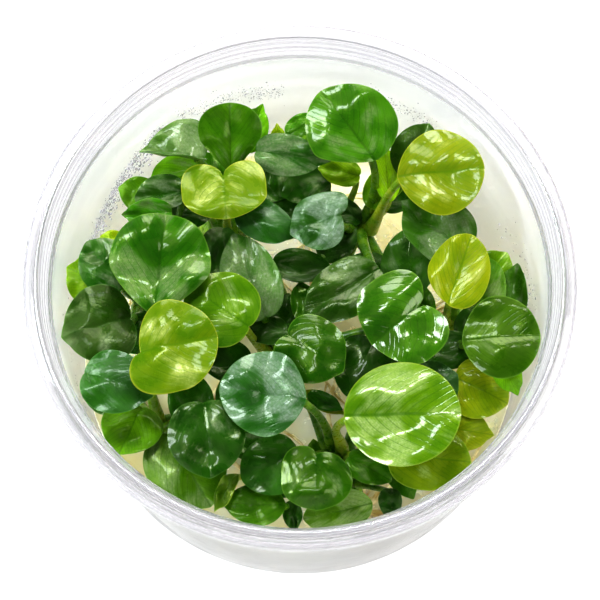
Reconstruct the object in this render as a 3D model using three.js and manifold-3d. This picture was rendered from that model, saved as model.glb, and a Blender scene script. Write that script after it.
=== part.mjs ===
// Gold coin anubias, grown in a clear tissue-culture cup. Millimetres, +Z up, origin at the
// middle of the cup's underside, -Y towards the viewer.
import * as THREE from "three";
import { mergeVertices } from "three/addons/utils/BufferGeometryUtils.js";
import Module from "manifold-3d";

// Cup
const CUP_HEIGHT = 60;
const LIP_RADIUS = 52.5; // outside of the rolled lip
const MOUTH_RADIUS = 49.2; // inner edge of the mouth
const SEAT_RADIUS = 47.5; // inside, at the foot of the lid seat
const SEAT_DEPTH = 6;
const BASE_RADIUS = 45; // outside of the wall just above the base
const CORNER = 3; // rounding between base and wall
const WALL = 0.9;
const SKIRT = 2.6; // height of the lip's turned-down edge
const CUP_SIDES = 48;

// Gel
const GEL_LEVEL = 13;
const GEL_SIDES = 32;
const GAP = 0.3; // between pieces that touch

// Leaves and stems
const BLADE_THICKNESS = 0.5;
const PETIOLE_RADIUS = 0.8;
const PETIOLE_SIDES = 5;
const PETIOLE_STEPS = 4;
const RHIZOME_RADIUS = 2;
const RHIZOME_SIDES = 8;
const RHIZOME_STEPS = 5;
const ROOT_RADIUS = 0.6;
const ACROSS = 4; // cells of a blade's grid
const ALONG = 6;
const ALONG_SHORT = 4; // on blades shorter than SHORT_BLADE
const SHORT_BLADE = 12;

const wasm = await Module();
wasm.setup();

const finish = (color, roughness) => new THREE.MeshStandardMaterial({ color, roughness, metalness: 0 });
const materials = {
  cup: new THREE.MeshStandardMaterial({
    color: 0xf4f4f6,
    roughness: 0.08,
    metalness: 0,
    transparent: true,
    opacity: 0.3,
  }),
  gel: finish(0xe9dcae, 0.35),
  rhizome: finish(0x7d9a22, 0.45),
  root: finish(0xd9c58a, 0.6),
  gold: finish(0xa9b52a, 0.28),
  lime: finish(0x7fae25, 0.28),
  green: finish(0x3f8a1c, 0.25),
  dark: finish(0x1f5a18, 0.22),
  teal: finish(0x2a6b45, 0.25),
};

// Where each creeping stem runs, from the end on the gel up to its growing crown.
const rhizomes = {
  a: [[4, 33, 16], [9, 26, 21], [13, 20.5, 29]],
  b: [[12, -35, 16], [10, -31, 21], [7, -26.5, 28]],
  c: [[-36, -10, 16], [-32, -16, 21], [-28.5, -21, 28]],
  d: [[-20, 27, 16], [-17, 22, 21], [-13, 16.5, 28]],
  e: [[35, 12, 16], [34, 6, 21], [31.5, 0, 28]],
  f: [[32, -26, 16], [29, -23, 21], [25, -19, 27]],
  g: [[-34, 20, 16], [-33, 13, 21], [-31, 5, 28]],
  h: [[2, 6, 16], [-1, 0, 21], [-5, -6, 28]],
};

// One row for each leaf:
// colour, middle of the midrib [x, y, z],
// [heading from joint to tip, pitch with the tip up, roll with the right side down] in degrees,
// [length, width, how far the lobes reach back past the joint, length of the pointed tip,
//  how much further back the right lobe reaches than the left (0 if left out),
//  how much wider the blade is at its joint (0.12 if left out)],
// [fold along the midrib, further bend out to the edge, droop from joint to tip] in degrees,
// [stem, how far up it, side of it as a bearing, how far the petiole leans back from the blade].
const leaves = [
  ["green", [9.6, 34.4, 50.5], [128, 8, 0], [17.4, 18.4, -0.8, 0.3, 1.3], [8, -8, 16], ["a", 0.92, 60, 2]],
  ["gold", [27.4, 24.4, 51], [5, 4, 0], [17, 18, -0.8, 0.2, 0, 0.02], [4, -10, 10], ["a", 1, 0, 2]],
  ["dark", [23.2, 31.8, 43], [66, 15, 0], [12, 10, -0.4, 0.5], [8, -10, 20], ["a", 0.7, 30, 0]],
  ["dark", [26.6, 15, 44.5], [140, 6, 6], [14.5, 14, 1, 1.5], [14, 4, 10], ["e", 1, 120, 0]],
  ["dark", [21.8, 9, 40.5], [89, 20, -30], [14, 12, -0.8, 0.5], [10, 5, 15], ["a", 0.8, 320, 0]],
  ["gold", [30.8, 4.2, 51], [71, 5, 0], [14.5, 12, 0, 0.3, 0.8], [6, -16, 14], ["e", 1, 200, 0]],
  ["green", [38.4, -9.2, 50], [2, 4, 0], [14.8, 16.6, -0.3, 0.2, 0, 0], [8, -16, 14], ["e", 1, 290, 0]],
  ["dark", [41.4, 1.7, 42], [80, 25, -15], [11.5, 7.4, 0.3, 0.9], [12, 0, 0], ["e", 0.55, 20, 0]],
  ["lime", [37.6, 7.5, 39], [50, 10, 0], [10, 9.4, 0.5, 0.5], [6, -8, 10], ["e", 0.4, 60, 0]],
  ["green", [36, 3, 45.5], [88, 10, 20], [11, 9, 0.5, 0.5], [6, -6, 10], ["e", 1, 60, 0]],
  ["green", [18.2, -6.9, 50.5], [219, -2, 0], [11.5, 19, 4.2, 0.2, 0.6, 0.05], [10, -16, 4], ["h", 0.9, 10, 0]],
  ["lime", [19.2, -24.9, 51.5], [0, 4, 0], [22, 20.6, -0.2, 0.2, 0, 0], [6, -12, 12], ["b", 1, 40, 4]],
  ["teal", [25.5, -17.6, 45], [26, 6, 0], [10, 11, 1, 0.4], [6, -12, 14], ["f", 1, 60, 0]],
  ["gold", [35.2, -16.6, 39.5], [332, 0, 0], [11, 12.4, 1, 0.4], [6, -12, 14], ["f", 0.8, 20, 0]],
  ["gold", [31.3, -24.2, 37.7], [351, 0, 0], [11, 9, 0.5, 1], [10, -10, 10], ["f", 0.95, 300, 0]],
  ["green", [40, -15.2, 46], [293, -16, 25], [7.5, 6, 0.3, 1], [8, 0, 10], ["e", 0.9, 340, 3]],
  ["lime", [25, -30.6, 41.5], [352, 0, 0], [15, 13.4, 1, 0.4], [6, -10, 12], ["b", 0.9, 350, 0]],
  ["green", [3.1, -37.1, 48], [271, -4, 0], [10.6, 13.6, 1.9, 0.2, -1.1, 0], [4, -26, 22], ["b", 1, 280, 0]],
  ["dark", [-5.6, -32.7, 43], [206, -4, 0], [12, 12, 0.4, 0.2], [6, -20, 22], ["b", 1, 170, 0]],
  ["dark", [-17.6, -29.4, 49.5], [276, -6, 0], [13.8, 14.8, 1, 0.5], [18, -34, 18], ["c", 1, 330, 3]],
  ["green", [-21.6, -32, 38], [301, 0, 0], [16.5, 15.5, 1, 0.5], [5, -12, 12], ["c", 1, 240, 0]],
  ["green", [-32.7, -24.6, 40], [248, 15, 0], [11, 12, 0.4, 0.3], [8, -10, 14], ["c", 0.7, 225, 0]],
  ["teal", [-35, -18.2, 49.5], [341, -2, 0], [13, 12.3, 0.4, 1], [5, -10, 14], ["c", 0.5, 215, 0]],
  ["gold", [-23.1, -11.4, 52.6], [12, 2, 0], [14.9, 18.2, 1.9, 0.2, 2], [6, -16, 12], ["c", 1, 90, 0]],
  ["green", [-27.1, 5.3, 50.6], [84, 5, 0], [20.6, 20, -2.2, 0.1, 0, -0.06], [16, -36, 10], ["g", 1, 280, 3]],
  ["dark", [-39, -6.2, 47], [197, 2, 0], [13, 16, 1, 0.8], [12, -12, 10], ["g", 1, 200, 0]],
  ["lime", [-41.6, 5.4, 43], [152, 6, 0], [8, 10.4, 0.5, 0.8], [8, -10, 10], ["g", 0.7, 200, 0]],
  ["dark", [-38, 7, 46], [130, 6, 0], [11, 11, 1, 0.4], [8, -14, 14], ["g", 0.9, 150, 0]],
  ["lime", [-15.7, -2.2, 47.5], [147, 2, 0], [14, 15, 1, 0.2], [6, -14, 14], ["h", 1, 180, 0]],
  ["dark", [-9.9, 5.4, 43.5], [111, 6, -10], [17, 11.5, 1, 1], [8, -16, 14], ["h", 0.9, 110, 0]],
  ["dark", [8.5, 1.2, 47], [215, 0, 0], [17, 11.6, 0, 1.6], [14, -24, 14], ["a", 1, 240, 0]],
  ["green", [2.9, -12.1, 49.5], [326, -2, 0], [12, 13.4, 1.9, 0.6], [5, -14, 16], ["h", 1, 250, 0]],
  ["teal", [-6.9, -20.8, 51.5], [172, 2, 0], [16.4, 16.9, -0.7, 0.3], [8, -14, 12], ["b", 1, 110, 4]],
  ["dark", [11.7, -12.8, 42], [244, 4, 0], [12, 11, 1, 0.4], [6, -12, 12], ["b", 0.8, 60, 0]],
  ["gold", [-14.7, 19.5, 50], [275, 4, 0], [9.2, 16.6, 4.3, 0], [5, -12, 14], ["d", 1, 250, 0]],
  ["green", [-13.9, 34, 44.8], [91, 34, 0], [14.4, 12.2, -1.4, 0, 0, -0.36], [14, -6, 8], ["d", 1, 100, 0]],
  ["dark", [-25.1, 31, 43.8], [175, 4, 34], [11.5, 15, 1.3, 1.2, 0, 0.4], [34, 0, 10], ["d", 0.65, 125, 3]],
  ["green", [-9.8, 38, 40], [63, 20, 20], [9, 7, 0.5, 1.2], [12, 0, 10], ["d", 0.6, 33, 0]],
  ["dark", [-2.2, 29.4, 47.2], [353, -4, 22], [13, 8.4, 0.6, 2], [10, -16, 14], ["d", 0.8, 33, -3]],
  ["teal", [-6.8, 15.9, 46], [332, -4, 0], [11.5, 8.6, 0.6, 0.8], [6, -14, 14], ["d", 1, 10, 0]],
  ["teal", [3.2, 14.9, 48], [200, -4, 0], [9.8, 11.6, 1.9, 0.8, -1.5], [6, -20, 16], ["a", 0.9, 200, 0]],
  ["green", [-32.2, 23.3, 42], [164, 10, 0], [7.5, 7.3, 0.5, 0.4], [8, -10, 10], ["g", 0.6, 110, 0]],
  ["dark", [-27.6, 22.1, 44.6], [188, 0, 0], [9.5, 8, 0.5, 0.5], [24, 0, 10], ["g", 0.7, 40, 0]],
  ["green", [-24.5, 29.6, 38], [200, 4, 0], [11, 8, 0.5, 0.5], [10, -8, 10], ["d", 0.6, 213, 0]],
  ["green", [-29.7, 17.1, 47.5], [184, 0, -30], [9, 6, 0.3, 0.8], [10, 0, 10], ["g", 0.9, 60, 0]],
  ["green", [-8.4, -39.6, 40], [179, 2, 0], [11.5, 8.3, -0.4, 0.6], [8, -8, 10], ["b", 0.8, 215, 0]],
  ["lime", [-14, -37.1, 41], [242, 0, 40], [8, 5, 0, 0.8], [10, 0, 10], ["b", 0.95, 215, 0]],
  ["green", [7.4, -40.4, 38], [192, -4, -25], [13.4, 8.5, -0.4, 0.3], [10, -10, 12], ["b", 0.55, 250, 0]],
];

// Roots that lie on the gel.
const roots = [
  [[16, 4, 14.2], [8, -6, 14.2], [6, -16, 14.2], [12, -25, 14.2]],
  [[-12, -2, 14.2], [-18, -12, 14.2], [-14, -24, 14.2], [-2, -30, 14.2]],
];

const radians = THREE.MathUtils.degToRad;
const vector = (at) => new THREE.Vector3(...at);

// A closed solid for joining, from a geometry whose shared corners are merged.
function solidFrom(geometry) {
  geometry.deleteAttribute("normal");
  geometry.deleteAttribute("uv");
  const merged = mergeVertices(geometry, 1e-4);
  return new wasm.Manifold(
    new wasm.Mesh({
      numProp: 3,
      vertProperties: merged.attributes.position.array,
      triVerts: new Uint32Array(merged.index.array),
    }),
  );
}

function geometryFrom(solid) {
  const { vertProperties, triVerts } = solid.getMesh();
  const geometry = new THREE.BufferGeometry();
  geometry.setAttribute("position", new THREE.BufferAttribute(vertProperties, 3));
  geometry.setIndex(new THREE.BufferAttribute(triVerts, 1));
  geometry.computeVertexNormals();
  return geometry;
}

// A tube along a smooth curve, with a few flat sides.
function tube(curve, radius, sides, steps) {
  const corner = (k) => {
    const angle = (2 * Math.PI * k) / sides;
    return new THREE.Vector2(radius * Math.cos(angle), radius * Math.sin(angle));
  };
  const section = new THREE.Shape(Array.from({ length: sides }, (_, k) => corner(k)));
  return new THREE.ExtrudeGeometry(section, { steps, bevelEnabled: false, extrudePath: curve });
}

function cupGeometry() {
  const seatHeight = CUP_HEIGHT - SEAT_DEPTH;
  const skirtFoot = CUP_HEIGHT - 1.4 - SKIRT;
  const innerBase = BASE_RADIUS - WALL;
  const outline = [
    [0, 0],
    [BASE_RADIUS - CORNER, 0],
    [BASE_RADIUS - CORNER * 0.3, CORNER * 0.3],
    [BASE_RADIUS, CORNER],
    [SEAT_RADIUS + WALL, seatHeight - 0.6],
    [MOUTH_RADIUS + WALL, CUP_HEIGHT - 1.6],
    [LIP_RADIUS - 0.8, CUP_HEIGHT - 2],
    [LIP_RADIUS - 0.7, skirtFoot],
    [LIP_RADIUS, skirtFoot],
    [LIP_RADIUS, CUP_HEIGHT - 1.4],
    [LIP_RADIUS - 0.8, CUP_HEIGHT - 0.5],
    [MOUTH_RADIUS + 0.9, CUP_HEIGHT],
    [MOUTH_RADIUS, CUP_HEIGHT - 0.2],
    [SEAT_RADIUS, seatHeight],
    [innerBase, CORNER + WALL],
    [innerBase - CORNER * 0.3, CORNER * 0.3 + WALL],
    [innerBase - CORNER, WALL],
    [0, WALL],
  ];
  return upright(new THREE.LatheGeometry(outline.map(([r, z]) => new THREE.Vector2(r, z)), CUP_SIDES));
}

// A lathe turns about Y: this stands it up on Z.
const upright = (geometry) => geometry.rotateX(Math.PI / 2);

const wallInside = (z) => {
  const foot = BASE_RADIUS - WALL;
  return foot + ((SEAT_RADIUS - foot) * (z - CORNER)) / (CUP_HEIGHT - SEAT_DEPTH - CORNER);
};

function gelGeometry() {
  const floor = WALL + GAP;
  const meniscus = GEL_LEVEL + 1;
  const outline = [
    [0, floor],
    [BASE_RADIUS - WALL - CORNER - GAP, floor],
    [wallInside(CORNER) - GAP, CORNER + floor],
    [wallInside(meniscus) - GAP - 0.1, meniscus],
    [wallInside(meniscus) - 2, GEL_LEVEL],
    [0, GEL_LEVEL],
  ];
  return upright(new THREE.LatheGeometry(outline.map(([r, z]) => new THREE.Vector2(r, z)), GEL_SIDES));
}

const rhizomeCurves = Object.fromEntries(
  Object.entries(rhizomes).map(([key, points]) => [key, new THREE.CatmullRomCurve3(points.map(vector))]),
);

// Where a petiole stands on a stem: beside it, on the given bearing.
function footOn([key, along, bearing]) {
  const curve = rhizomeCurves[key];
  const tangent = curve.getTangentAt(along);
  const out = new THREE.Vector3(Math.cos(radians(bearing)), Math.sin(radians(bearing)), 0);
  out.addScaledVector(tangent, -out.dot(tangent)).normalize();
  const foot = curve.getPointAt(along).addScaledVector(out, RHIZOME_RADIUS + PETIOLE_RADIUS + GAP);
  return { foot, out };
}

// An arc that starts at one angle and turns evenly: how far it goes along and up.
function arc(distance, start, turn) {
  if (Math.abs(turn) < 1e-4) return [distance * Math.cos(start), distance * Math.sin(start)];
  const radius = distance / turn;
  return [
    radius * (Math.sin(start + turn) - Math.sin(start)),
    radius * (Math.cos(start) - Math.cos(start + turn)),
  ];
}

// The leaf's own axes: across to the right, along the midrib, and up from its face.
function leafAxes([heading, pitch, roll]) {
  const h = radians(heading);
  const p = radians(pitch);
  const r = radians(roll);
  const along = new THREE.Vector3(Math.cos(h) * Math.cos(p), Math.sin(h) * Math.cos(p), Math.sin(p));
  const flatRight = new THREE.Vector3(Math.sin(h), -Math.cos(h), 0);
  const flatUp = new THREE.Vector3().crossVectors(flatRight, along);
  const right = flatRight.clone().multiplyScalar(Math.cos(r)).addScaledVector(flatUp, -Math.sin(r));
  const up = new THREE.Vector3().crossVectors(right, along);
  return { right, along, up };
}

// A point of the blade: a runs across, b from the joint at -1 to the tip at +1, lift is off the mid face.
function bladePoint(a, b, lift, middle, axes, size, [fold, cup, droop]) {
  const [length, width, lobe, tip, skew = 0, belly = 0.12] = size;
  const reach = Math.hypot(a, b);
  const fromJoint = Math.atan2(Math.abs(a), -b);
  const sideLobe = a < 0 ? lobe - skew : lobe + skew;
  const swing = Math.max(0, Math.sin(Math.min(2 * fromJoint, Math.PI)));
  const lobed = sideLobe * (sideLobe > 0 ? Math.sqrt(swing) : swing) * reach ** 2;
  const pointed = tip * Math.max(0, 1 - (Math.PI - fromJoint) / 0.35) * reach ** 4;
  const x = (a * width * (1 - belly * b)) / 2;
  const y = (b * length) / 2 - lobed + pointed;
  const bend = (radians(cup) * Math.abs(x)) / (width / 2);
  const [out, rise] = arc(Math.abs(x), radians(fold), bend);
  const turn = (-radians(droop) * y) / length;
  const [ahead, drop] = arc(y, 0, turn);
  const slope = a === 0 ? 0 : radians(fold) + bend;
  const side = Math.sign(a);
  const across = side * (out - lift * Math.sin(slope));
  const height = rise + lift * Math.cos(slope);
  return middle
    .clone()
    .addScaledVector(axes.right, across)
    .addScaledVector(axes.along, ahead - height * Math.sin(turn))
    .addScaledVector(axes.up, drop + height * Math.cos(turn));
}

// A grid pressed into a disc, then into the blade: a top and a bottom face, closed round the edge.
function bladeGeometry(middle, axes, size, bend) {
  const points = [];
  const faces = [];
  const cells = size[0] < SHORT_BLADE ? ALONG_SHORT : ALONG;
  const count = (ACROSS + 1) * (cells + 1);
  const at = (i, j) => j * (ACROSS + 1) + i;
  for (const lift of [BLADE_THICKNESS / 2, -BLADE_THICKNESS / 2]) {
    for (let j = 0; j <= cells; j++) {
      for (let i = 0; i <= ACROSS; i++) {
        const s = (2 * i) / ACROSS - 1;
        const t = (2 * j) / cells - 1;
        const a = s * Math.sqrt(1 - (t * t) / 2);
        const b = t * Math.sqrt(1 - (s * s) / 2);
        points.push(bladePoint(a, b, lift, middle, axes, size, bend));
      }
    }
  }
  const quad = (p, q, r, s) => faces.push(p, q, r, p, r, s);
  for (let j = 0; j < cells; j++) {
    for (let i = 0; i < ACROSS; i++) {
      quad(at(i, j), at(i + 1, j), at(i + 1, j + 1), at(i, j + 1));
      quad(at(i, j) + count, at(i, j + 1) + count, at(i + 1, j + 1) + count, at(i + 1, j) + count);
    }
  }
  const edge = [];
  for (let i = 0; i < ACROSS; i++) edge.push(at(i, 0));
  for (let j = 0; j < cells; j++) edge.push(at(ACROSS, j));
  for (let i = ACROSS; i > 0; i--) edge.push(at(i, cells));
  for (let j = cells; j > 0; j--) edge.push(at(0, j));
  edge.forEach((here, k) => {
    const next = edge[(k + 1) % edge.length];
    quad(here, here + count, next + count, next);
  });
  const geometry = new THREE.BufferGeometry().setFromPoints(points);
  geometry.setIndex(faces);
  return geometry;
}

// The petiole rises from the stem and bends into the blade's joint.
function petioleGeometry(middle, axes, size, bend, stem) {
  const joint = bladePoint(0, -1, 0, middle, axes, size, bend);
  const inside = bladePoint(0, -0.8, -BLADE_THICKNESS * 0.35, middle, axes, size, bend);
  const { foot, out } = footOn(stem);
  const lean = stem[3];
  const rise = joint.z - foot.z;
  const sideways = vector([joint.x - foot.x, joint.y - foot.y, 0]);
  const neck = joint.clone().addScaledVector(axes.along, -lean - 0.6).add(vector([0, 0, -0.4 * rise]));
  const ankle = foot.clone().addScaledVector(out, 0.8).addScaledVector(sideways, 0.3);
  ankle.z += 0.3 * rise;
  const curve = new THREE.CubicBezierCurve3(inside, neck, ankle, foot);
  return tube(curve, PETIOLE_RADIUS, PETIOLE_SIDES, PETIOLE_STEPS);
}

function leafGeometry([, at, turn, size, bend, stem]) {
  const axes = leafAxes(turn);
  const middle = vector(at);
  const blade = solidFrom(bladeGeometry(middle, axes, size, bend));
  const petiole = solidFrom(petioleGeometry(middle, axes, size, bend, stem));
  return geometryFrom(blade.add(petiole));
}

const anubias = new THREE.Group();

function place(name, geometry, material) {
  const mesh = new THREE.Mesh(geometry, material);
  mesh.name = name;
  anubias.add(mesh);
}

place("cup", cupGeometry(), materials.cup);
place("gel", gelGeometry(), materials.gel);
for (const [key, curve] of Object.entries(rhizomeCurves)) {
  place(`rhizome_${key}`, tube(curve, RHIZOME_RADIUS, RHIZOME_SIDES, RHIZOME_STEPS), materials.rhizome);
}
roots.forEach((points, k) => {
  const curve = new THREE.CatmullRomCurve3(points.map(vector));
  place(`root_${k + 1}`, tube(curve, ROOT_RADIUS, 5, 8), materials.root);
});
leaves.forEach((row, k) => {
  const number = String(k + 1).padStart(2, "0");
  place(`leaf_${number}`, leafGeometry(row), materials[row[0]]);
});

export default anubias;
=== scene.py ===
import math
import random
import bmesh
import bpy
from mathutils import Matrix, Vector, noise


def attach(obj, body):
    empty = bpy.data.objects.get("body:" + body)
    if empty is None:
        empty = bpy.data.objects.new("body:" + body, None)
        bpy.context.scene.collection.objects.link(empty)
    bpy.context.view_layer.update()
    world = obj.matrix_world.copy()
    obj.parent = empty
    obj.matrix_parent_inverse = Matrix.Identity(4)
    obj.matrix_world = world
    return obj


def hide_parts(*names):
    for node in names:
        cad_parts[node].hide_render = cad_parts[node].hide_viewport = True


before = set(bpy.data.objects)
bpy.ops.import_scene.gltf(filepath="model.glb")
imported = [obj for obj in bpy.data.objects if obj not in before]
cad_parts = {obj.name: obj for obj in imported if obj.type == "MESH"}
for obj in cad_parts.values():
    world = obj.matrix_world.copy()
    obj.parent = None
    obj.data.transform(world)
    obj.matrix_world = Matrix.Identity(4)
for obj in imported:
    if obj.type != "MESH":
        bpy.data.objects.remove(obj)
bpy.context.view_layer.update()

# Gold coin anubias in its clear cup. The tables are in millimetres, +Z up, -Y towards the viewer.
mm = 0.001

for leftover in ("Cube", "Light", "Camera"):
    if leftover in bpy.data.objects:
        bpy.data.objects.remove(bpy.data.objects[leftover])

print("camera and lights")

cameraSettings = {"target": (0, -5.1, 60), "elevation": 71.26, "distance": 450, "lens": 143.74}
stageSettings = {"floorSize": 3000, "floorDrop": 0.2, "floorGlow": 0.75, "worldStrength": 0.07,
                 "exposure": 0.22, "gamma": 0.84}
# Each panel: where it is, its two sides, its power and its tint.
softBoxes = {
    "left": {"at": (-520, 60, 430), "sides": (200, 150), "watts": 2.2, "tint": (0.88, 0.95, 1)},
    "right": {"at": (540, -60, 430), "sides": (360, 280), "watts": 1.6, "tint": (1, 0.97, 0.93)},
    "back": {"at": (60, 600, 430), "sides": (460, 260), "watts": 3.1, "tint": (1, 0.98, 0.95)},
    "front": {"at": (-60, -600, 470), "sides": (420, 260), "watts": 0.8, "tint": (1, 0.98, 0.96)},
    "topWindow": {"at": (-90, 190, 600), "sides": (230, 80), "watts": 1.3, "tint": (0.9, 0.96, 1)},
    "topLamp": {"at": (120, 300, 560), "sides": (60, 60), "watts": 0.25, "tint": (1, 0.98, 0.96)},
}


def aim(item, place, target):
    item.location = place
    item.rotation_euler = (target - place).to_track_quat("-Z", "Y").to_euler()


def makeCamera():
    lens = bpy.data.cameras.new("camera")
    lens.sensor_width = 36
    lens.lens = cameraSettings["lens"]
    lens.clip_start = 0.01
    lens.clip_end = 20
    camera = bpy.data.objects.new("camera", lens)
    bpy.context.scene.collection.objects.link(camera)
    target = Vector(cameraSettings["target"]) * mm
    tilt = math.radians(cameraSettings["elevation"])
    back = Vector((0, -math.cos(tilt), math.sin(tilt)))
    aim(camera, target + back * cameraSettings["distance"] * mm, target)
    bpy.context.scene.camera = camera


def makeLights():
    target = Vector((0, 0, 45)) * mm
    for name, box in softBoxes.items():
        light = bpy.data.lights.new(name, "AREA")
        light.shape = "RECTANGLE"
        light.size = box["sides"][0] * mm
        light.size_y = box["sides"][1] * mm
        light.energy = box["watts"]
        light.color = box["tint"]
        panel = bpy.data.objects.new(name, light)
        bpy.context.scene.collection.objects.link(panel)
        aim(panel, Vector(box["at"]) * mm, target)


def makeWorld():
    world = bpy.data.worlds.new("studio")
    bpy.context.scene.world = world
    world.use_nodes = True
    background = world.node_tree.nodes["Background"]
    background.inputs["Color"].default_value = (0.96, 0.97, 1, 1)
    background.inputs["Strength"].default_value = stageSettings["worldStrength"]
    view = bpy.context.scene.view_settings
    view.view_transform = "Standard"
    view.exposure = stageSettings["exposure"]
    view.gamma = stageSettings["gamma"]


makeCamera()
makeLights()
makeWorld()

print("materials")


def newMaterial(name):
    material = bpy.data.materials.new(name)
    material.use_nodes = True
    tree = material.node_tree
    return material, tree, tree.nodes["Principled BSDF"]


# value is a number, a colour or the output of another node
def feed(tree, socket, value):
    if isinstance(value, bpy.types.NodeSocket):
        tree.links.new(value, socket)
    elif isinstance(value, tuple) and len(value) == 3:
        socket.default_value = (*value, 1)
    else:
        socket.default_value = value


def calc(tree, operation, *values):
    node = tree.nodes.new("ShaderNodeMath")
    node.operation = operation
    for socket, value in zip(node.inputs, values):
        feed(tree, socket, value)
    return node.outputs[0]


def flatDistance(tree, x, y):
    return calc(tree, "SQRT", calc(tree, "MULTIPLY_ADD", x, x, calc(tree, "MULTIPLY", y, y)))


# smoothly takes value from start..end to low..high
def remap(tree, value, start, end, low, high):
    node = tree.nodes.new("ShaderNodeMapRange")
    node.interpolation_type = "SMOOTHSTEP"
    feed(tree, node.inputs["Value"], value)
    node.inputs["From Min"].default_value = start
    node.inputs["From Max"].default_value = end
    node.inputs["To Min"].default_value = low
    node.inputs["To Max"].default_value = high
    return node.outputs["Result"]


# takes the middle of a noise to 0..1
def contrast(tree, pattern):
    return remap(tree, pattern, 0.35, 0.65, 0, 1)


def blendColours(tree, factor, first, second):
    node = tree.nodes.new("ShaderNodeMix")
    node.data_type = "RGBA"
    feed(tree, node.inputs["Factor"], factor)
    feed(tree, node.inputs["A"], first)
    feed(tree, node.inputs["B"], second)
    return node.outputs["Result"]


def objectPlace(tree):
    return tree.nodes.new("ShaderNodeTexCoord").outputs["Object"]


# the X, Y and Z of a place
def split(tree, place):
    node = tree.nodes.new("ShaderNodeSeparateXYZ")
    feed(tree, node.inputs[0], place)
    return node.outputs


# the two values that a leaf carries in one of its UV maps
def mapValues(tree, mapName):
    chart = tree.nodes.new("ShaderNodeUVMap")
    chart.uv_map = mapName
    return split(tree, chart.outputs[0])[:2]


# grain is the size of the pattern's lumps in millimetres
def mottle(tree, grain, detail=3.0, place=None):
    node = tree.nodes.new("ShaderNodeTexNoise")
    node.inputs["Scale"].default_value = 1 / (grain * mm)
    node.inputs["Detail"].default_value = detail
    feed(tree, node.inputs["Vector"], place or objectPlace(tree))
    return node.outputs["Fac"]


def cells(tree, grain):
    node = tree.nodes.new("ShaderNodeTexVoronoi")
    node.feature = "DISTANCE_TO_EDGE"
    node.inputs["Scale"].default_value = 1 / (grain * mm)
    feed(tree, node.inputs["Vector"], objectPlace(tree))
    return node.outputs["Distance"]


def bumps(tree, shader, height, depth, before=None):
    node = tree.nodes.new("ShaderNodeBump")
    node.inputs["Strength"].default_value = 1
    node.inputs["Distance"].default_value = depth * mm
    feed(tree, node.inputs["Height"], height)
    if before:
        feed(tree, node.inputs["Normal"], before)
    feed(tree, shader.inputs["Normal"], node.outputs["Normal"])
    return node.outputs["Normal"]


# Where a point lies on the blade: across is 0 on the midrib and 1 at the edge,
# along runs from -1 at the joint to 1 at the tip.
def bladePlace(tree):
    x, y = mapValues(tree, "leafMap")
    signed = calc(tree, "MULTIPLY_ADD", x, 2, -1)
    along = calc(tree, "MULTIPLY_ADD", y, 2, -1)
    return calc(tree, "ABSOLUTE", signed), along


# A width runs from a line's full strength to none: the midrib's in shares of half the blade,
# the other veins' in shares of the gap between two of them.
veinShape = {"lean": 0.9, "fan": 0.5, "curl": 0.9, "wobble": 0.05, "perHalf": 5.5, "finePerHalf": 21,
             "midribWidth": (0.01, 0.045), "sideWidth": (0.02, 0.13), "fineWidth": (0.05, 0.3),
             "sideShow": 0.75, "fineShow": 0.14}


# Number of the side vein that a point is on: the veins leave the midrib and arch to the tip.
def veinNumber(tree, across, along):
    slant = calc(tree, "MULTIPLY_ADD", across, veinShape["curl"], veinShape["lean"])
    spread = calc(tree, "MULTIPLY_ADD", across, veinShape["fan"], 1)
    start = calc(tree, "SUBTRACT", along, calc(tree, "MULTIPLY", across, slant))
    return calc(tree, "MULTIPLY_ADD", mottle(tree, 3.5), veinShape["wobble"],
                calc(tree, "DIVIDE", start, spread))


# 1 on a line and 0 between two lines
def lines(tree, number, count, width):
    aboveZero = calc(tree, "MULTIPLY_ADD", number, count, 40)
    offset = calc(tree, "ABSOLUTE", calc(tree, "SUBTRACT", calc(tree, "FRACT", aboveZero), 0.5))
    return remap(tree, offset, *width, 1, 0)


# noise drawn out along the veins
def streaks(tree, number, across, count):
    place = tree.nodes.new("ShaderNodeCombineXYZ")
    feed(tree, place.inputs["X"], calc(tree, "MULTIPLY", number, count))
    feed(tree, place.inputs["Y"], calc(tree, "MULTIPLY", across, 1.3))
    node = tree.nodes.new("ShaderNodeTexNoise")
    node.inputs["Scale"].default_value = 1
    node.inputs["Detail"].default_value = 3
    feed(tree, node.inputs["Vector"], place.outputs[0])
    return node.outputs["Fac"]


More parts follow.
